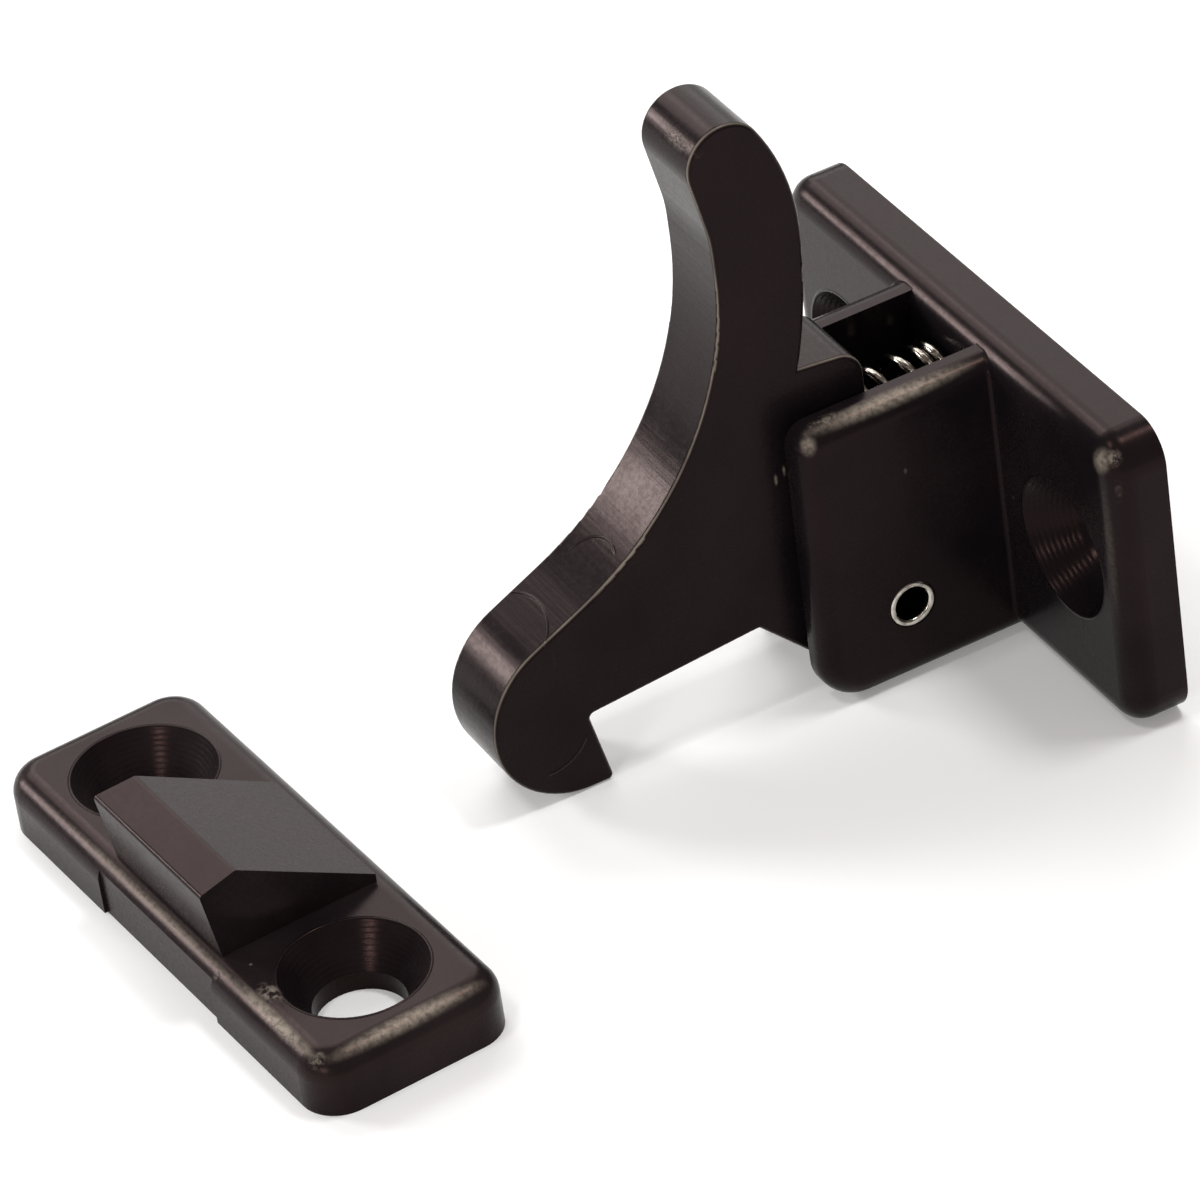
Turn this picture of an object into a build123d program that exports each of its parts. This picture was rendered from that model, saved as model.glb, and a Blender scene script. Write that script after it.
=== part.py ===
from build123d import *
from math import radians, tan
import os

# Cabinet elbow catch, in millimetres. The base plate's back face lies on Y = 0, against
# the door, and the middle of its two screw holes is the origin. X runs along the plate,
# Z is up, and the hook and its strike plate lie out towards -Y on the shelf's plane.

# Base plate of the catch
plate_length = 33.9
plate_height = 18.4
plate_thickness = 3.3
plate_corner_r = 2.1
plate_edge_r = 1.5

# Countersunk screw holes, the same form in the catch and in the strike plate
plate_screw_spacing = 22.0
strike_screw_spacing = 21.5
screw_hole_r = 2.5
sink_rim_r = 3.95
sink_angle = 63.0

# Two cheeks that hold the pin, moulded in one with the base plate
cheek_gap = 6.5
cheek_thickness = 1.8
cheek_reach = 14.8
cheek_lean = 0.2
cheek_top_drop = 0.6
cheek_foot_rise = 0.05
cheek_brow_r = 1.3
cheek_toe_r = 2.6
cheek_edge_r = 1.2
cheek_root_r = 0.25

# Hollow pivot pin
pin_r = 1.39
pin_wall = 0.39
pin_depth = 9.4
pin_rise = 4.8
pin_running_gap = 0.05

# Lever: shank and crown, heights measured from the pin
lever_relief = 0.75
lever_side_gap = 0.1
boss_r = 3.2
shank_set = 2.45
shank_depth = 5.2
shoulder_rise = 23.85
shoulder_r = 13.0
shoulder_turn = 30.5
crown_r = 2.25
lip_lean = 11.2
lip_fillet_r = 8.0
lever_edge_r = 0.25

# Lever: hook arm and hook
elbow_rise = 11.5
elbow_r = 18.3
arm_slope = 26.0
hook_reach = 23.9
hook_nose_r = 5.2
hook_length = 6.5
hook_lean = 0.95
hook_tip_r = 0.3
throat_height = 4.55
throat_rise = 0.8
throat_length = 10.5

# Lever: hub round the pin, heel that stops on the plate, and lug that the spring pushes
hub_drop = 4.75
hub_front = 2.7
hub_front_r = 4.0
hub_back = 1.8
hub_back_r = 1.5
heel_height = 3.2
heel_r = 1.0
stop_gap = 0.05
lug_back = 0.1
lug_rise = 15.4
lug_fall = 0.4
lug_crest_r = 1.55
lug_foot_rise = 4.6
lug_root_r = 0.7
notch_set = 3.6

# Compression spring and the spigots that centre it
wire_r = 0.3
closed_pitch = 0.68
open_shares = (0.426, 0.416, 0.158)
spring_side_gap = 0.45
spring_rise = 13.55
spigot_gap = 0.4
plate_spigot_length = 1.3
lug_spigot_length = 0.8

# Strike plate
strike_length = 33.5
strike_width = 11.7
strike_thickness = 3.5
strike_corner_r = 2.2
strike_edge_r = 1.4
strike_stand_off = 8.55
strike_shift = 1.35
strike_turn = 3.7
recess_length = 11.8
recess_depth = 0.18

# Wedge on the strike plate
wedge_length = 11.0
wedge_foot = 4.7
wedge_overhang = 0.65
wedge_front_height = 4.24
wedge_ridge_set = 2.25
wedge_height = 4.83
wedge_run = 7.7
wedge_tail = 0.45
wedge_ridge_r = 0.3
wedge_lip_r = 0.25
left_ridge_set = 0.65
left_tail_set = 0.8

# Places that follow from the sizes above
floor_z = -plate_height / 2
plate_front_y = -plate_thickness
cheek_inner_x = cheek_gap / 2
cheek_outer_x = cheek_inner_x + cheek_thickness
pin_y = -pin_depth
pin_z = floor_z + pin_rise
pin_rim_r = 0.45 * pin_wall
lever_half_width = cheek_inner_x - lever_relief
spring_z = floor_z + spring_rise
lug_back_y = pin_y + lug_back
spring_length = plate_front_y - lug_back_y
spring_mean_r = cheek_inner_x - spring_side_gap - wire_r
spigot_r = spring_mean_r - wire_r - spigot_gap


def countersunk_pair(face, spacing):
    """Sinks two screw holes, spaced along the face's own X, into the part being built."""
    with Locations(face):
        with GridLocations(spacing, 1, 2, 1):
            CounterSinkHole(screw_hole_r, sink_rim_r, counter_sink_angle=sink_angle)


# One cheek, on the +X side: its root reaches into the plate as far as the plate's
# rounded edge does, and every edge that a finger can touch is rounded.
root_y = plate_front_y + plate_edge_r
top_front_y = -cheek_reach
foot_front_y = -cheek_reach - cheek_lean
cheek_top_z = plate_height / 2 - cheek_top_drop
cheek_foot_z = floor_z + cheek_foot_rise
with BuildPart() as cheek:
    with BuildSketch(Plane.YZ.offset(cheek_inner_x)):
        with BuildLine():
            FilletPolyline(
                (root_y, cheek_foot_z),
                (root_y, cheek_top_z),
                (top_front_y, cheek_top_z),
                (foot_front_y, cheek_foot_z),
                radius=(0, 0, cheek_brow_r, cheek_toe_r),
                close=True,
            )
        make_face()
        with Locations((pin_y, pin_z)):
            Circle(pin_r, mode=Mode.SUBTRACT)
    extrude(amount=cheek_thickness)
    outer_rim = cheek.faces().sort_by(Axis.X)[-1].outer_wire().edges()
    fillet(outer_rim.sort_by(Axis.Y)[:-1], cheek_edge_r)

# Housing: base plate and cheeks as one moulding, with the spigot that centres the spring
front_face = Plane.XZ.offset(plate_thickness)
with BuildPart() as housing:
    with BuildSketch(Plane.XZ):
        RectangleRounded(plate_length, plate_height, plate_corner_r)
    extrude(amount=plate_thickness)
    fillet(housing.faces().sort_by(Axis.Y)[0].edges(), plate_edge_r)
    countersunk_pair(front_face, plate_screw_spacing)
    with BuildSketch(front_face):
        with Locations((0, spring_z)):
            Circle(spigot_r)
    extrude(amount=plate_spigot_length)
    add(cheek.part)
    add(mirror(cheek.part, about=Plane.YZ, mode=Mode.PRIVATE))
    roots = housing.edges().filter_by(Axis.Z).filter_by_position(Axis.Y, plate_front_y, plate_front_y)
    right_root = roots.filter_by_position(Axis.X, cheek_outer_x, cheek_outer_x)
    left_root = roots.filter_by_position(Axis.X, -cheek_outer_x, -cheek_outer_x)
    fillet(right_root + left_root, cheek_root_r)
housing.part.label = "housing"

# Pivot pin: a hollow tube, its ends flush with the cheeks and their rims rounded
with BuildPart() as pivot_pin:
    with BuildSketch(Plane.YZ):
        with Locations((pin_y, pin_z)):
            Circle(pin_r)
            Circle(pin_r - pin_wall, mode=Mode.SUBTRACT)
    extrude(amount=cheek_outer_x, both=True)
    fillet(pivot_pin.edges().filter_by(GeomType.CIRCLE), pin_rim_r)
pivot_pin.part.label = "pivot_pin"

# Lever profile, counter-clockwise as seen from +X: up the back of the shank, over the
# crown, down to the arm, round the hook, and back under the hub to the lug.
shank_back_y = pin_y - shank_set
shank_front_y = shank_back_y - shank_depth
hook_nose_y = pin_y - hook_reach
hook_foot_z = floor_z
hook_tip_y = hook_nose_y + hook_length
throat_z = hook_foot_z + throat_height
elbow_z = pin_z + elbow_rise
arm_end_z = elbow_z - (shank_front_y - hook_nose_y) * tan(radians(arm_slope))
throat_front_y = hook_tip_y - hook_lean
throat_back_y = throat_front_y + throat_length
hub_foot_z = pin_z - hub_drop
heel_y = plate_front_y - stop_gap
notch = (pin_y - notch_set, pin_z + lug_rise)
nose_arc_limit = (arm_end_z - hook_foot_z) / (1 + tan(radians(90 - arm_slope) / 2))
with BuildPart() as lever:
    with BuildSketch(Plane.YZ.offset(-lever_half_width)):
        with BuildLine():
            waist = (shank_back_y, pin_z + shoulder_rise)
            TangentArc(waist, notch, tangent=(0, -1))
            shoulder = JernArc(waist, (0, 1), shoulder_r, shoulder_turn)
            crown = JernArc(shoulder @ 1, shoulder % 1, crown_r, 180 - shoulder_turn + lip_lean)
            lip_foot_z = (crown @ 1).Y - (shank_front_y - (crown @ 1).X) / tan(radians(lip_lean))
            FilletPolyline(
                crown @ 1,
                (shank_front_y, lip_foot_z),
                (shank_front_y, elbow_z),
                (hook_nose_y, arm_end_z),
                (hook_nose_y, hook_foot_z),
                (hook_tip_y, hook_foot_z),
                (throat_front_y, throat_z),
                (throat_back_y, throat_z + throat_rise),
                (pin_y - hub_front, hub_foot_z),
                (pin_y + hub_back, hub_foot_z),
                (heel_y, pin_z - heel_height),
                (heel_y, pin_z),
                (pin_y + hub_back, pin_z + lug_foot_rise),
                (lug_back_y, pin_z + lug_foot_rise),
                (lug_back_y, pin_z + lug_rise - lug_fall),
                notch,
                radius=(
                    lip_fillet_r,
                    elbow_r,
                    min(hook_nose_r, nose_arc_limit),
                    min(hook_nose_r, nose_arc_limit),
                    hook_tip_r,
                    hook_tip_r,
                    hook_tip_r,
                    hub_front_r,
                    hub_back_r,
                    heel_r,
                    heel_r,
                    lug_root_r,
                    lug_root_r,
                    lug_crest_r,
                ),
            )
        make_face()
    extrude(amount=2 * lever_half_width)
    side_rims = lever.edges().filter_by(Plane.YZ)
    fillet(side_rims, lever_edge_r)
    with BuildSketch(Plane.YZ):
        with Locations((pin_y, pin_z)):
            Circle(boss_r)
    extrude(amount=cheek_inner_x - lever_side_gap, both=True)
    with BuildSketch(Plane.YZ):
        with Locations((pin_y, pin_z)):
            Circle(pin_r + pin_running_gap)
    extrude(amount=cheek_inner_x, both=True, mode=Mode.SUBTRACT)
    with BuildSketch(Plane.XZ.offset(-lug_back_y)):
        with Locations((0, spring_z)):
            Circle(spigot_r)
    extrude(amount=-lug_spigot_length)
lever.part.label = "lever"

# Compression spring between plate and lug. Its wire starts and ends at the bottom; two
# closed coils lie against the plate and the open ones share the rest of the length.
open_run = spring_length - 2 * wire_r - 2 * closed_pitch
coil_pitches = [closed_pitch, closed_pitch] + [share * open_run for share in open_shares]
with BuildPart() as spring:
    with BuildLine() as wire:
        coil_y = plate_front_y - wire_r
        for pitch in coil_pitches:
            Helix(pitch, pitch, spring_mean_r, center=(0, coil_y, spring_z), direction=(0, -1, 0))
            coil_y -= pitch
    with BuildSketch(Plane(wire.line @ 0, z_dir=wire.line % 0)):
        Circle(wire_r)
    sweep(is_frenet=True)
spring.part.label = "spring"

# Wedge of the strike plate, about the plate's own middle. Its overhanging front holds the
# hook, and its left end leans in from the front corner towards ridge and tail.
strike_top_z = floor_z + strike_thickness
wedge_front = (-wedge_foot - wedge_overhang, strike_top_z + wedge_front_height)
wedge_ridge = (wedge_front[0] + wedge_ridge_set, strike_top_z + wedge_height)
wedge_tail_y = wedge_ridge[0] + wedge_run
wedge_back = (wedge_tail_y, strike_top_z + wedge_tail)
left_front = Vector(-wedge_length / 2, *wedge_front)
left_ridge = Vector(left_ridge_set - wedge_length / 2, *wedge_ridge)
left_tail = Vector(left_tail_set - wedge_length / 2, *wedge_back)
left_normal = (left_ridge - left_front).cross(left_tail - left_front)
with BuildPart() as wedge:
    with BuildSketch(Plane.YZ.offset(-wedge_length / 2)):
        with BuildLine():
            FilletPolyline(
                (-wedge_foot, strike_top_z),
                wedge_front,
                wedge_ridge,
                wedge_back,
                (wedge_tail_y, strike_top_z),
                radius=(0, wedge_lip_r, wedge_ridge_r, 0, 0),
                close=True,
            )
        make_face()
    extrude(amount=wedge_length)
    split(bisect_by=Plane(origin=left_front, z_dir=left_normal), keep=Keep.BOTTOM)

# Strike plate, built about its own middle: its base lies on the shelf's plane, with a
# flat recess along its front side. It is then put where the photograph shows it.
with BuildPart() as strike_plate:
    with BuildSketch(Plane.XY.offset(floor_z)):
        RectangleRounded(strike_length, strike_width, strike_corner_r)
    extrude(amount=strike_thickness)
    fillet(strike_plate.faces().sort_by(Axis.Z)[-1].edges(), strike_edge_r)
    with BuildSketch(Plane.XY.offset(floor_z)):
        with Locations((0, -strike_width / 2)):
            Rectangle(recess_length, 2 * recess_depth)
    extrude(amount=strike_thickness, mode=Mode.SUBTRACT)
    countersunk_pair(Plane.XY.offset(strike_top_z), strike_screw_spacing)
    add(wedge.part)
strike_y = hook_nose_y - strike_stand_off - strike_width / 2
placed_strike = Pos(strike_shift, strike_y, 0) * Rot(0, 0, strike_turn) * strike_plate.part
placed_strike.label = "strike_plate"

os.makedirs("parts", exist_ok=True)
export_step(housing.part, "parts/housing.step")
export_step(pivot_pin.part, "parts/pivot_pin.step")
export_step(lever.part, "parts/lever.step")
export_step(spring.part, "parts/spring.step")
export_step(placed_strike, "parts/strike_plate.step")
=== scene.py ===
import bpy
import math
from mathutils import Matrix, Vector


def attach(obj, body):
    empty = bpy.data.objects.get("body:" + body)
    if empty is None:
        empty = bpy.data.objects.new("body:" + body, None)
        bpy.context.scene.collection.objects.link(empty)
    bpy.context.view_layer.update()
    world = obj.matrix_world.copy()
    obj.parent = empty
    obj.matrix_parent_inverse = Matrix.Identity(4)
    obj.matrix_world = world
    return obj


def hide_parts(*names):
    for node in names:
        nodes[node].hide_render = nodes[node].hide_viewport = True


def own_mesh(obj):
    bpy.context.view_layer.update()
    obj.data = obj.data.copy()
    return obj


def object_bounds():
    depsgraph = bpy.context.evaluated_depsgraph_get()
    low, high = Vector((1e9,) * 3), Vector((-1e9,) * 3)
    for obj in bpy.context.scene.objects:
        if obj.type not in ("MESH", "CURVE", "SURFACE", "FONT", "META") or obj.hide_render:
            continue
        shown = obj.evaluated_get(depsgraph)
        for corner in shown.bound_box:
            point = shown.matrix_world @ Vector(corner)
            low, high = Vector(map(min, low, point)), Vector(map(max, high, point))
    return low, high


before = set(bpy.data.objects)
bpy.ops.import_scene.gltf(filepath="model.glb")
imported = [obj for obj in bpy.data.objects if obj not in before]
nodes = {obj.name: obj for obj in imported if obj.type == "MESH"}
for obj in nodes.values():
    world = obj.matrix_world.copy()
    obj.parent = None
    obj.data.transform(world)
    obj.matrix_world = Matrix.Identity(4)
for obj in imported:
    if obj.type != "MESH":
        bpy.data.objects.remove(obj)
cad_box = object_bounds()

MM = 0.001


# Housing: base plate and two cheeks, injection moulded in one piece in black nylon. It
# shows as a very dark warm brown with a soft gloss. The mould's core pins were turned,
# and their fine rings still show in the two countersinks. Pale places on its edges and
# corners are painted highlights, the speckled ones partly wear.
def linear(hex_colour):
    """sRGB hex to linear RGBA."""
    parts = [int(hex_colour[i:i + 2], 16) / 255 for i in (1, 3, 5)]
    return [p / 12.92 if p <= 0.04045 else ((p + 0.055) / 1.055) ** 2.4 for p in parts] + [1.0]


def add_node(tree, kind, inputs=None, **settings):
    """Adds a node. Each input is a value, an output socket, or a node, for its first output."""
    made = tree.nodes.new(kind)
    for name, value in settings.items():
        setattr(made, name, value)
    for name, value in (inputs or {}).items():
        if isinstance(value, bpy.types.Node):
            value = value.outputs[0]
        if isinstance(value, bpy.types.NodeSocket):
            tree.links.new(value, made.inputs[name])
        else:
            made.inputs[name].default_value = value
    return made


def ramp_down(tree, distance, near_mm, far_mm):
    """1 up to near, falling smoothly to 0 at far."""
    return add_node(tree, "ShaderNodeMapRange", {
        "Value": distance, "From Min": near_mm * MM, "From Max": far_mm * MM,
        "To Min": 1.0, "To Max": 0.0}, interpolation_type="SMOOTHSTEP")


def line_at(tree, distance, middle_mm, half_width_mm):
    """A soft line: 1 where the distance is middle, falling smoothly to 0 on both sides."""
    off = add_node(tree, "ShaderNodeMath", {0: distance, 1: middle_mm * MM}, operation="SUBTRACT")
    aside = add_node(tree, "ShaderNodeMath", {0: off}, operation="ABSOLUTE")
    return ramp_down(tree, aside, 0.0, half_width_mm)


def distance_from(tree, place, centre_mm, weights=(1, 1, 1)):
    """Distance from a point. weights scales the axes, so 0 leaves one out and 0.1 draws the
    shape out ten times along it."""
    offset = add_node(tree, "ShaderNodeVectorMath", {
        0: place, 1: [v * MM for v in centre_mm]}, operation="SUBTRACT")
    scaled = add_node(tree, "ShaderNodeVectorMath", {0: offset, 1: weights}, operation="MULTIPLY")
    return add_node(tree, "ShaderNodeVectorMath", {0: scaled}, operation="LENGTH").outputs["Value"]


def add_height(tree, relief, shape, height_mm):
    """Adds a shape, times its height, to a relief in metres."""
    return add_node(tree, "ShaderNodeMath", {
        0: shape, 1: height_mm * MM, 2: relief}, operation="MULTIPLY_ADD")


def moulded_nylon(name, dark, light, sinks=None, wear_and_highlight_spots=(), painted_highlights_and_polish=(), centre_mm=(0, 0, 0),
                  turn=0.0, insert_marks=(), streaks=None, painted_edge_highlight=None):
    """Black moulded nylon, all places and sizes in mm.
    sinks: the countersinks' spacing, the axes across them, a point on the face they are in.
    wear_and_highlight_spots: speckled places painted paler, partly wear and partly painted highlight,
    each with its middle, radius and axis weights.
    painted_highlights_and_polish: smooth pale places, mostly painted highlights along fillets and
    corners, each with its middle, radius, axis weights and strength.
    centre_mm, turn: where the piece lies, for one that isn't modelled about the origin.
    insert_marks: arcs left by mould inserts, each with its centre, its radius, and the
    middle and reach of the part that shows.
    streaks: axis scales of the fine lines left by polishing the mould.
    painted_edge_highlight: the two sides, in |x|, of a band of painted highlight along the edge."""
    material = bpy.data.materials.new(name)
    material.use_nodes = True
    tree = material.node_tree
    shader = tree.nodes["Principled BSDF"]
    shader.inputs["IOR"].default_value = 1.45
    shader.inputs["Specular IOR Level"].default_value = 0.12
    shader.inputs["Specular Tint"].default_value = linear("#ffc6b8")
    place = add_node(tree, "ShaderNodeTexCoord").outputs["Object"]
    if turn or any(centre_mm):
        place = add_node(tree, "ShaderNodeMapping", {
            "Vector": place, "Location": [v * MM for v in centre_mm],
            "Rotation": (0, 0, math.radians(turn))}, vector_type="TEXTURE").outputs["Vector"]

    # flow clouding, 5 mm across, and the speckle of the worn and painted highlight places, 0.25 mm across
    cloud = add_node(tree, "ShaderNodeTexNoise", {
        "Vector": place, "Scale": 200.0, "Detail": 4.0}).outputs["Fac"]
    tone = add_node(tree, "ShaderNodeValToRGB", {"Fac": cloud})
    tone.color_ramp.elements[0].position = 0.35
    tone.color_ramp.elements[0].color = linear(dark)
    tone.color_ramp.elements[1].position = 0.68
    tone.color_ramp.elements[1].color = linear(light)
    speck = add_node(tree, "ShaderNodeTexNoise", {
        "Vector": place, "Scale": 3200.0, "Detail": 3.0, "Roughness": 0.65}).outputs["Fac"]
    speck_mask = add_node(tree, "ShaderNodeMapRange", {
        "Value": speck, "From Min": 0.42, "From Max": 0.6})
    wear_and_highlight = 0.0
    # speckled pale spots: partly wear, partly painted highlights on edges and corners
    for spot, radius, weights in wear_and_highlight_spots:
        near = ramp_down(tree, distance_from(tree, place, spot, weights), 0.2 * radius, radius)
        wear_and_highlight = add_node(tree, "ShaderNodeMath", {0: near, 1: wear_and_highlight}, operation="MAXIMUM")
    wear_and_highlight = add_node(tree, "ShaderNodeMath", {0: speck_mask, 1: wear_and_highlight}, operation="MULTIPLY")
    # speckle that mottles the painted highlights
    highlight_mottle = add_node(tree, "ShaderNodeMapRange", {
        "Value": speck, "From Min": 0.35, "From Max": 0.6, "To Min": 0.45})
    highlight_and_polish = 0.0
    # painted highlights: smooth pale bands along fillets and corners, where light would catch
    for spot, radius, weights, strength in painted_highlights_and_polish:
        near = ramp_down(tree, distance_from(tree, place, spot, weights), 0.1 * radius, radius)
        near = add_node(tree, "ShaderNodeMath", {0: near, 1: strength}, operation="MULTIPLY")
        highlight_and_polish = add_node(tree, "ShaderNodeMath", {0: near, 1: highlight_and_polish}, operation="MAXIMUM")
    highlight_and_polish = add_node(tree, "ShaderNodeMath", {0: highlight_mottle, 1: highlight_and_polish}, operation="MULTIPLY")
    # a painted highlight line along the side edges, patchy with the clouding
    if painted_edge_highlight:
        inner, outer = painted_edge_highlight
        across = add_node(tree, "ShaderNodeSeparateXYZ", {"Vector": place})
        side = add_node(tree, "ShaderNodeMath", {0: across}, operation="ABSOLUTE")
        band = line_at(tree, side, (inner + outer) / 2, (outer - inner) / 2)
        patchy = add_node(tree, "ShaderNodeMapRange", {
            "Value": cloud, "From Min": 0.3, "From Max": 0.6, "To Min": 0.25, "To Max": 0.8})
        band = add_node(tree, "ShaderNodeMath", {0: band, 1: patchy}, operation="MULTIPLY")
        highlight_and_polish = add_node(tree, "ShaderNodeMath", {0: band, 1: highlight_and_polish}, operation="MAXIMUM")

    # painted highlights and wear make the plastic paler: the smooth painted highlights fully, the
    # speckled places by 0.6
    marked = add_node(tree, "ShaderNodeMath", {0: wear_and_highlight, 1: 0.6}, operation="MULTIPLY")
    marked = add_node(tree, "ShaderNodeMath", {0: marked, 1: highlight_and_polish}, operation="MAXIMUM")
    # 948b7f is the pale colour of the painted highlights and of wear
    mixed = add_node(tree, "ShaderNodeMix", {
        "Factor": marked, "A": tone, "B": linear("#948b7f")}, data_type="RGBA")
    tree.links.new(mixed.outputs["Result"], shader.inputs["Base Color"])

    # gloss: uneven over a few millimetres, duller on the speckles
    gloss = add_node(tree, "ShaderNodeMapRange", {
        "Value": cloud, "From Min": 0.3, "From Max": 0.7, "To Min": 0.2, "To Max": 0.27})
    rough = add_node(tree, "ShaderNodeMath", {
        0: speck_mask, 1: 0.05, 2: gloss}, operation="MULTIPLY_ADD")
    tree.links.new(rough.outputs[0], shader.inputs["Roughness"])

    # relief: orange peel 0.6 mm across, speckle, mould rings, insert marks and streaks
    peel = add_node(tree, "ShaderNodeTexNoise", {
        "Vector": place, "Scale": 1500.0, "Detail": 2.0}).outputs["Fac"]
    relief = add_height(tree, 0.0, peel, 0.003)
    relief = add_height(tree, relief, speck, 0.002)
    relief = add_height(tree, relief, wear_and_highlight, 0.025)
    if sinks:
        # turned rings, a little uneven, in the cones only, and a fine burr round each rim
        rim_mm, cone_depth_mm, ring_gap_mm = 3.95, 2.5, 0.16
        spacing, across_axes, face = sinks
        mirrored = add_node(tree, "ShaderNodeVectorMath", {0: place}, operation="ABSOLUTE")
        radius = distance_from(tree, mirrored, (spacing / 2, 0, 0), across_axes)
        uneven = add_node(tree, "ShaderNodeMath", {
            0: peel, 1: 0.1 * MM, 2: radius}, operation="MULTIPLY_ADD")
        phase = add_node(tree, "ShaderNodeMath", {
            0: uneven, 1: 2 * math.pi / (ring_gap_mm * MM)}, operation="MULTIPLY")
        wave = add_node(tree, "ShaderNodeMath", {0: phase}, operation="SINE")
        inside = ramp_down(tree, radius, rim_mm - 0.15, rim_mm - 0.05)
        depth = distance_from(tree, place, face, [1 - k for k in across_axes])
        sunk = ramp_down(tree, depth, cone_depth_mm, cone_depth_mm + 0.1)
        ring = add_node(tree, "ShaderNodeMath", {0: wave, 1: inside}, operation="MULTIPLY")
        ring = add_node(tree, "ShaderNodeMath", {0: ring, 1: sunk}, operation="MULTIPLY")
        relief = add_height(tree, relief, ring, 0.003)
        burr = line_at(tree, radius, rim_mm + 0.07, 0.12)
        burr = add_node(tree, "ShaderNodeMath", {0: burr, 1: sunk}, operation="MULTIPLY")
        relief = add_height(tree, relief, burr, 0.04)
    for centre, radius, seen, reach in insert_marks:
        arc = line_at(tree, distance_from(tree, place, centre), radius, 0.11)
        shown = ramp_down(tree, distance_from(tree, place, seen), 0.7 * reach, reach)
        arc = add_node(tree, "ShaderNodeMath", {0: arc, 1: shown}, operation="MULTIPLY")
        relief = add_height(tree, relief, arc, 0.045)
    if streaks:
        stretched = add_node(tree, "ShaderNodeVectorMath", {0: place, 1: streaks}, operation="MULTIPLY")
        drawn = add_node(tree, "ShaderNodeTexNoise", {"Vector": stretched, "Scale": 1.0, "Detail": 2.0})
        relief = add_height(tree, relief, drawn.outputs["Fac"], 0.008)
    bump = add_node(tree, "ShaderNodeBump", {"Height": relief, "Strength": 1.0, "Distance": 1.0})
    tree.links.new(bump.outputs["Normal"], shader.inputs["Normal"])
    return material


def dress(node_name, material):
    """Gives a CAD node its material in every slot."""
    node = nodes[node_name]
    if not node.material_slots:
        node.data.materials.append(material)
    for slot in node.material_slots:
        slot.material = material


# pale bands on the cheek tops, the cheek brows and the plate's corner are painted highlights
housing_nylon = moulded_nylon(
    "moulded_nylon_housing", "#141114", "#1c1719",
    sinks=(22.0, (1, 0, 1), (0, -3.3, 0)),
    wear_and_highlight_spots=[((16.1, -2.6, 8.3), 0.6, (1, 1, 1)), ((16.9, -3.0, 6.6), 0.5, (1, 1, 0.35)),
            ((4.2, -12.6, 8.5), 0.6, (1, 0.4, 1)), ((-4.6, -14.2, 8.1), 0.6, (1, 1, 1))],
    painted_highlights_and_polish=[((4.4, -9.0, 8.45), 0.7, (1, 0.11, 1), 1.0), ((4.75, -14.2, 8.0), 0.6, (1, 1, 0.7), 0.8),
              ((15.7, -3.05, 8.1), 0.7, (1, 1, 0.7), 0.8), ((15.9, -3.1, 3.0), 0.4, (1, 1, 0.06), 0.15),
              ((-3.25, -6.9, 7.7), 0.35, (1, 1, 0.6), 0.12),
              ((-3.25, -4.5, 7.3), 0.35, (1, 1, 0.6), 0.12),
              ((6.1, -3.3, 0.4), 0.1, (1, 1, 1), 0.5), ((5.05, -8.9, 4.1), 0.15, (1, 1, 0.6), 0.3)])
dress("housing", housing_nylon)


# Pivot pin: a hollow rolled steel pin, zinc plated, pressed through both cheeks. Its cut
# ends are bright, its bore is painted dark as shade, and drawing the tube has left fine rings round it.
def plated_steel(name, dull_colour, colour, rough, grain_mm, squeeze, bore_shade_edge_mm=None):
    """Bright steel with fine drawing marks; squeeze stretches them along the piece. Where
    bore_shade_edge_mm is given, only what lies farther out along X is bright, and nearer the middle the
    bore is painted dark as shade."""
    material = bpy.data.materials.new(name)
    material.use_nodes = True
    tree = material.node_tree
    shader = tree.nodes["Principled BSDF"]
    shader.inputs["Metallic"].default_value = 1.0
    place = add_node(tree, "ShaderNodeTexCoord").outputs["Object"]
    drawn = add_node(tree, "ShaderNodeVectorMath", {0: place, 1: squeeze}, operation="MULTIPLY")
    marks = add_node(tree, "ShaderNodeTexNoise", {
        "Vector": drawn, "Scale": 1 / (grain_mm * MM), "Detail": 3.0}).outputs["Fac"]
    tone = add_node(tree, "ShaderNodeValToRGB", {"Fac": marks})
    tone.color_ramp.elements[0].position = 0.3
    tone.color_ramp.elements[0].color = linear(dull_colour)
    tone.color_ramp.elements[1].position = 0.6
    tone.color_ramp.elements[1].color = linear(colour)
    base = tone.outputs["Color"]
    if bore_shade_edge_mm:
        along = add_node(tree, "ShaderNodeSeparateXYZ", {"Vector": place})
        side = add_node(tree, "ShaderNodeMath", {0: along}, operation="ABSOLUTE")
        inner = ramp_down(tree, side, bore_shade_edge_mm - 0.3, bore_shade_edge_mm)
        # painted shade: the bore is darkened to #3a342e
        base = add_node(tree, "ShaderNodeMix", {
            "Factor": inner, "A": base, "B": linear("#3a342e")}, data_type="RGBA").outputs["Result"]
    tree.links.new(base, shader.inputs["Base Color"])
    dull = add_node(tree, "ShaderNodeMapRange", {
        "Value": marks, "To Min": rough * 0.7, "To Max": rough * 1.4})
    tree.links.new(dull.outputs[0], shader.inputs["Roughness"])
    bump = add_node(tree, "ShaderNodeBump", {"Height": marks, "Strength": 0.5, "Distance": 0.01 * MM})
    tree.links.new(bump.outputs["Normal"], shader.inputs["Normal"])
    return material


pin_zinc = plated_steel("zinc_plated_steel", "#8a8279", "#e4dfd5", 0.22, 0.3, (2.0, 0.6, 0.6), 4.85)
dress("pivot_pin", pin_zinc)

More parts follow.
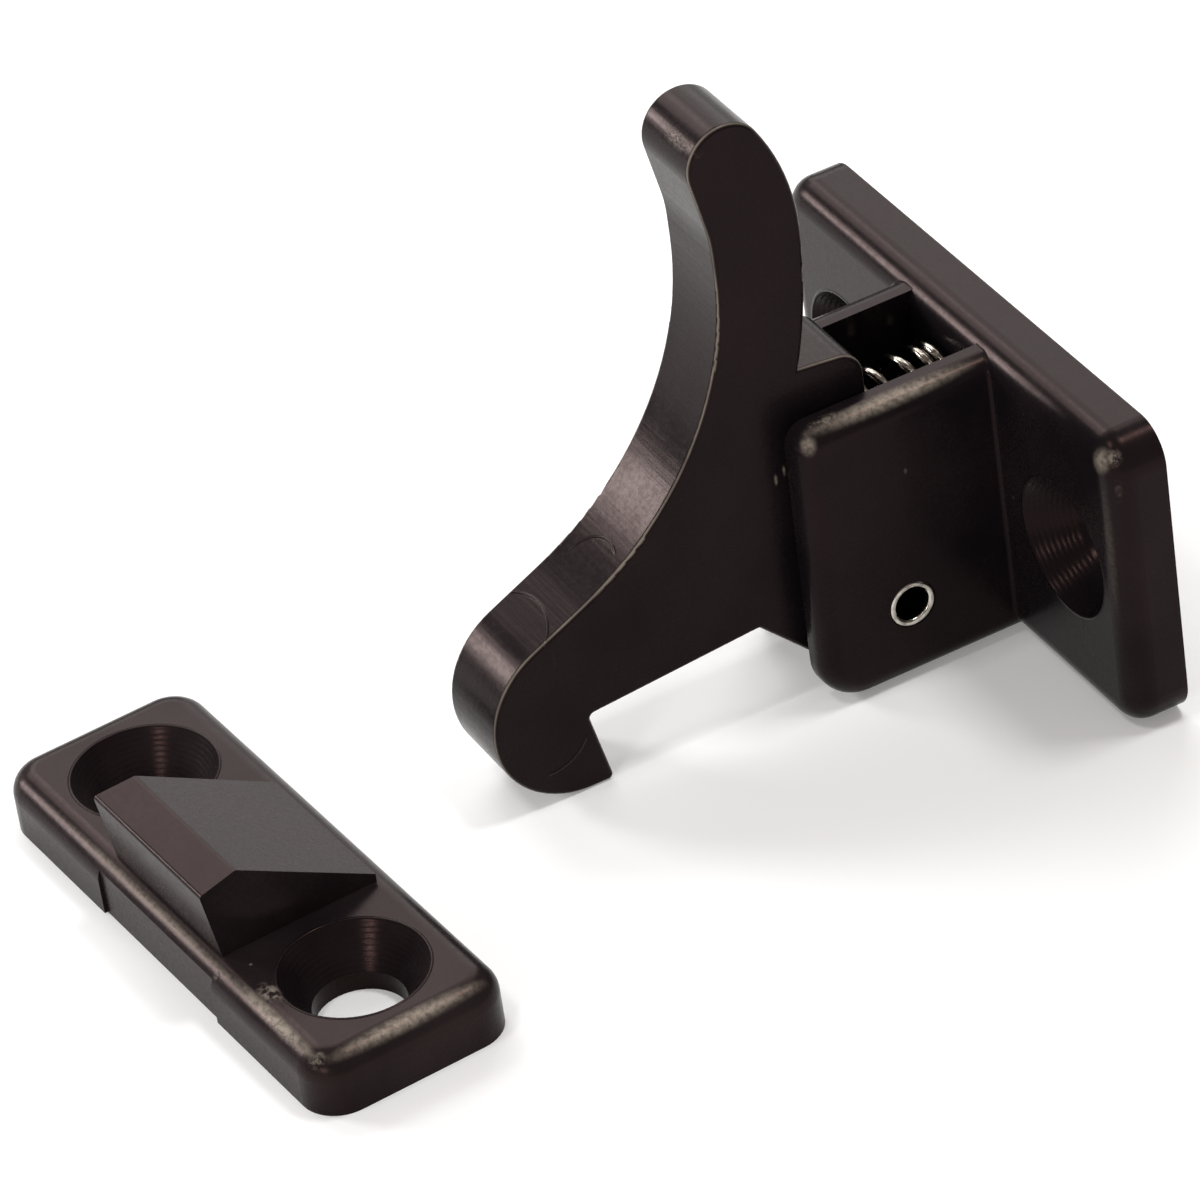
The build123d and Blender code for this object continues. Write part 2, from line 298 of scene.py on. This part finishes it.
# Lever: crown, shank, hook arm and hook in one moulding of the same nylon. Its rounded
# front was polished across in the mould, which leaves fine streaks there, and round inserts
# have left faint arcs on the hook arm. Its side edges carry a fine painted highlight line,
# its side face two short painted highlight strokes, and its crown a pale spot, partly wear
# and partly painted highlight.
lever_nylon = moulded_nylon(
    "moulded_nylon_lever", "#141114", "#1c1719",
    wear_and_highlight_spots=[((0.9, -17.1, 26.1), 0.6, (0.3, 1, 1))],
    painted_highlights_and_polish=[((2.5, -15.19, 4.94), 0.14, (1, 1, 0.3), 0.8),
              ((2.5, -14.66, 5.28), 0.13, (1, 1, 0.3), 0.8)],
    insert_marks=[((-0.3, -31.6, -0.2), 3.6, (0.2, -28.6, 1.1), 3.4),
                  ((0.5, -25.6, 2.5), 2.0, (-0.3, -24.5, 3.5), 1.9),
                  ((2.5, -30.4, -4.6), 2.6, (2.5, -29.3, -6.7), 1.6)],
    streaks=(150.0, 3500.0, 3500.0), painted_edge_highlight=(2.28, 2.46))
dress("lever", lever_nylon)

# Spring: a compression spring of 0.6 mm oiled steel wire, two coils closed against the
# plate and the open ones towards the lever's lug, sitting on the two spigots.
# Given are the radii of wire and coil, the axis's height, and the start and pitches along Y.
wire_mm, coil_mm, spring_z_mm = 0.3, 2.5, 4.35
first_y_mm = -3.6
pitches_mm = [0.68, 0.68, 1.72104, 1.68064, 0.63832]


def coil_tree():
    """A wire that winds from the plate towards the lug, with its own pitch for each coil."""
    tree = bpy.data.node_groups.new("coil", "GeometryNodeTree")
    sockets = {}
    for name, kind, value in [
            ("Wire radius", "NodeSocketFloat", wire_mm * MM),
            ("Coil radius", "NodeSocketFloat", coil_mm * MM),
            ("Axis height", "NodeSocketFloat", spring_z_mm * MM),
            ("Start", "NodeSocketFloat", first_y_mm * MM),
            ("Steps per coil", "NodeSocketInt", 48),
            ("Material", "NodeSocketMaterial", None)]:
        sockets[name] = tree.interface.new_socket(name, in_out="INPUT", socket_type=kind)
        if value is not None:
            sockets[name].default_value = value
    for k, pitch in enumerate(pitches_mm):
        name = f"Pitch {k + 1}"
        sockets[name] = tree.interface.new_socket(name, in_out="INPUT", socket_type="NodeSocketFloat")
        sockets[name].default_value = pitch * MM
    tree.interface.new_socket("Geometry", in_out="OUTPUT", socket_type="NodeSocketGeometry")
    given = tree.nodes.new("NodeGroupInput").outputs
    count = add_node(tree, "ShaderNodeMath", {
        0: given["Steps per coil"], 1: float(len(pitches_mm)), 2: 1.0}, operation="MULTIPLY_ADD")
    line = add_node(tree, "GeometryNodeMeshLine", {"Count": count})
    turn = add_node(tree, "ShaderNodeMath", {
        0: add_node(tree, "GeometryNodeInputIndex"), 1: given["Steps per coil"]}, operation="DIVIDE")
    reach = given["Start"]
    for k in range(len(pitches_mm)):
        share = add_node(tree, "ShaderNodeMapRange", {
            "Value": turn, "From Min": float(k), "From Max": float(k + 1)})
        wound_on = add_node(tree, "ShaderNodeMath", {
            0: share, 1: given[f"Pitch {k + 1}"]}, operation="MULTIPLY")
        reach = add_node(tree, "ShaderNodeMath", {0: reach, 1: wound_on}, operation="SUBTRACT")
    angle = add_node(tree, "ShaderNodeMath", {0: turn, 1: 2 * math.pi}, operation="MULTIPLY")
    sine = add_node(tree, "ShaderNodeMath", {0: angle}, operation="SINE")
    cosine = add_node(tree, "ShaderNodeMath", {0: angle}, operation="COSINE")
    across = add_node(tree, "ShaderNodeMath", {0: sine, 1: given["Coil radius"]}, operation="MULTIPLY")
    drop = add_node(tree, "ShaderNodeMath", {0: cosine, 1: given["Coil radius"]}, operation="MULTIPLY")
    height = add_node(tree, "ShaderNodeMath", {0: given["Axis height"], 1: drop}, operation="SUBTRACT")
    point = add_node(tree, "ShaderNodeCombineXYZ", {"X": across, "Y": reach, "Z": height})
    bent = add_node(tree, "GeometryNodeSetPosition", {"Geometry": line, "Position": point})
    path = add_node(tree, "GeometryNodeMeshToCurve", {"Mesh": bent})
    round_wire = add_node(tree, "GeometryNodeCurvePrimitiveCircle", {
        "Resolution": 20, "Radius": given["Wire radius"]})
    wire = add_node(tree, "GeometryNodeCurveToMesh", {
        "Curve": path, "Profile Curve": round_wire, "Fill Caps": True})
    smooth = add_node(tree, "GeometryNodeSetShadeSmooth", {"Geometry": wire})
    real = add_node(tree, "GeometryNodeRealizeInstances", {"Geometry": smooth})
    painted = add_node(tree, "GeometryNodeSetMaterial", {"Geometry": real, "Material": given["Material"]})
    result = tree.nodes.new("NodeGroupOutput")
    tree.links.new(painted.outputs[0], result.inputs["Geometry"])
    return tree, sockets


spring_wire = plated_steel("oiled_spring_steel", "#57504a", "#a19a90", 0.15, 0.25, (1.0, 1.0, 1.0))
winding, winding_inputs = coil_tree()
spring_coil = bpy.data.objects.new("spring_coil", bpy.data.meshes.new("spring_coil"))
bpy.context.scene.collection.objects.link(spring_coil)
winder = spring_coil.modifiers.new("coil", "NODES")
winder.node_group = winding
winder[winding_inputs["Material"].identifier] = spring_wire
bpy.context.view_layer.update()
seen_by = bpy.context.evaluated_depsgraph_get()
wound = bpy.data.meshes.new_from_object(spring_coil.evaluated_get(seen_by))
spring_coil.modifiers.remove(winder)
spring_coil.data = wound
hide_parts("spring")
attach(spring_coil, "mounted_parts")
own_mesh(spring_coil)

# Strike plate: a separate moulding of the same nylon, a little browner, screwed to the
# shelf. Its right end, near corner and front edge carry painted highlights and some wear.
strike_nylon = moulded_nylon(
    "moulded_nylon_strike", "#1a1517", "#262021",
    sinks=(21.5, (1, 1, 0), (0, 0, -5.7)), centre_mm=(1.35, -47.7, 0), turn=3.7,
    wear_and_highlight_spots=[((15.4, -5.0, -6.1), 0.6, (1, 1, 1)), ((12.6, -5.2, -6.1), 0.4, (0.16, 1, 1)),
            ((9.6, -4.3, -5.75), 0.7, (0.6, 1, 1)), ((6.05, -5.45, -6.2), 0.3, (1, 1, 1))],
    painted_highlights_and_polish=[((16.0, 0.0, -5.85), 0.65, (1, 0.11, 1), 1.0),
              ((11.5, -5.15, -5.9), 0.5, (0.09, 1, 1), 0.9),
              ((0.0, -5.2, -5.95), 0.35, (0.025, 1, 1), 0.5),
              ((7.0, -3.9, -5.7), 0.12, (1, 1, 1), 0.6), ((-5.2, -4.9, -1.2), 0.1, (1, 1, 1), 0.6)])
dress("strike_plate", strike_nylon)

# Studio: a white paper floor, an even pale surround and seven soft boxes. The floor's own
# shade is near white, and what the camera, gloss and glass see of it is lifted to white.
floor_z = cad_box[0].z
half_floor = 3.0
floor_mesh = bpy.data.meshes.new("floor")
corners = [(x * half_floor, y * half_floor, floor_z) for x, y in ((-1, -1), (1, -1), (1, 1), (-1, 1))]
floor_mesh.from_pydata(corners, [], [(0, 1, 2, 3)])
floor = bpy.data.objects.new("floor", floor_mesh)
bpy.context.scene.collection.objects.link(floor)
paper = bpy.data.materials.new("white_paper")
paper.use_nodes = True
tree = paper.node_tree
shader = tree.nodes["Principled BSDF"]
shader.inputs["Base Color"].default_value = linear("#f1f1f1")
shader.inputs["Roughness"].default_value = 0.9
shader.inputs["Specular IOR Level"].default_value = 0.0
shader.inputs["Emission Color"].default_value = (1, 1, 1, 1)
rays = add_node(tree, "ShaderNodeLightPath").outputs
looked_at = add_node(tree, "ShaderNodeMath", {
    0: rays["Is Camera Ray"], 1: rays["Is Glossy Ray"]}, operation="MAXIMUM")
looked_at = add_node(tree, "ShaderNodeMath", {
    0: looked_at, 1: rays["Is Transmission Ray"]}, operation="MAXIMUM")
lift = add_node(tree, "ShaderNodeMath", {0: looked_at, 1: 0.15}, operation="MULTIPLY")
tree.links.new(lift.outputs[0], shader.inputs["Emission Strength"])
floor_mesh.materials.append(paper)

surround = bpy.data.worlds.new("pale_surround")
bpy.context.scene.world = surround
surround.use_nodes = True
tree = surround.node_tree
sky = tree.nodes["Background"]
sky.inputs["Color"].default_value = (1, 0.9, 0.84, 1)
sky.inputs["Strength"].default_value = 0.3

middle = Vector((0, -0.025, 0.005))
box_distance = 0.6


def softbox(name, towards, size, brightness):
    """A square soft light that looks at the object; brightness is its own, with 1 as white."""
    lamp = bpy.data.lights.new(name, "AREA")
    lamp.shape = "SQUARE"
    lamp.size = size
    lamp.energy = brightness * math.pi * size * size
    holder = bpy.data.objects.new(name, lamp)
    bpy.context.scene.collection.objects.link(holder)
    away = Vector(towards).normalized()
    holder.location = middle + away * box_distance
    holder.rotation_euler = away.to_track_quat("Z", "Y").to_euler()


softbox("back_left_box", (-0.73, 0.33, 0.59), 0.4, 3.0)
softbox("back_low_box", (-0.73, 0.67, 0.1), 0.3, 0.9)
softbox("left_box", (-0.73, -0.07, 0.67), 0.24, 5.0)
softbox("front_left_box", (-0.73, -0.59, 0.33), 0.15, 26.0)
softbox("top_back_box", (0.1, 0.33, 0.93), 0.12, 24.0)
softbox("top_front_box", (0.0, -0.38, 0.92), 0.1, 20.0)
softbox("front_right_box", (0.52, -0.76, 0.3), 0.12, 16.0)

# Camera: a long lens from the front right and above, as the photograph was taken. The
# part's origin lies at origin_x, origin_y in the frame, in pixels from its upper left.
azimuth, elevation, roll = math.radians(66.13), math.radians(36.061), math.radians(8.716)
frame_px, focal_px, px_per_mm = 1200, 7500.0, 18.683
origin_x, origin_y = 1006.769, 428.497
forward = Vector((-math.sin(azimuth) * math.cos(elevation), math.cos(azimuth) * math.cos(elevation),
                  -math.sin(elevation)))
level_right = Vector((math.cos(azimuth), math.sin(azimuth), 0))
upward = level_right.cross(forward)
cam_x = level_right * math.cos(roll) - upward * math.sin(roll)
cam_y = level_right * math.sin(roll) + upward * math.cos(roll)
depth = focal_px / px_per_mm * MM
aside = (origin_x - frame_px / 2) / focal_px * depth
below = (origin_y - frame_px / 2) / focal_px * depth
eye = cam_y * below - cam_x * aside - forward * depth
lens = bpy.data.cameras.new("camera")
lens.sensor_width = 36.0
lens.lens = focal_px / frame_px * lens.sensor_width
lens.clip_start = 0.01
lens.clip_end = 20.0
camera = bpy.data.objects.new("camera", lens)
bpy.context.scene.collection.objects.link(camera)
camera.matrix_world = Matrix((
    (cam_x.x, cam_y.x, -forward.x, eye.x),
    (cam_x.y, cam_y.y, -forward.y, eye.y),
    (cam_x.z, cam_y.z, -forward.z, eye.z),
    (0, 0, 0, 1)))
bpy.context.scene.camera = camera
bpy.context.scene.view_settings.view_transform = "Standard"
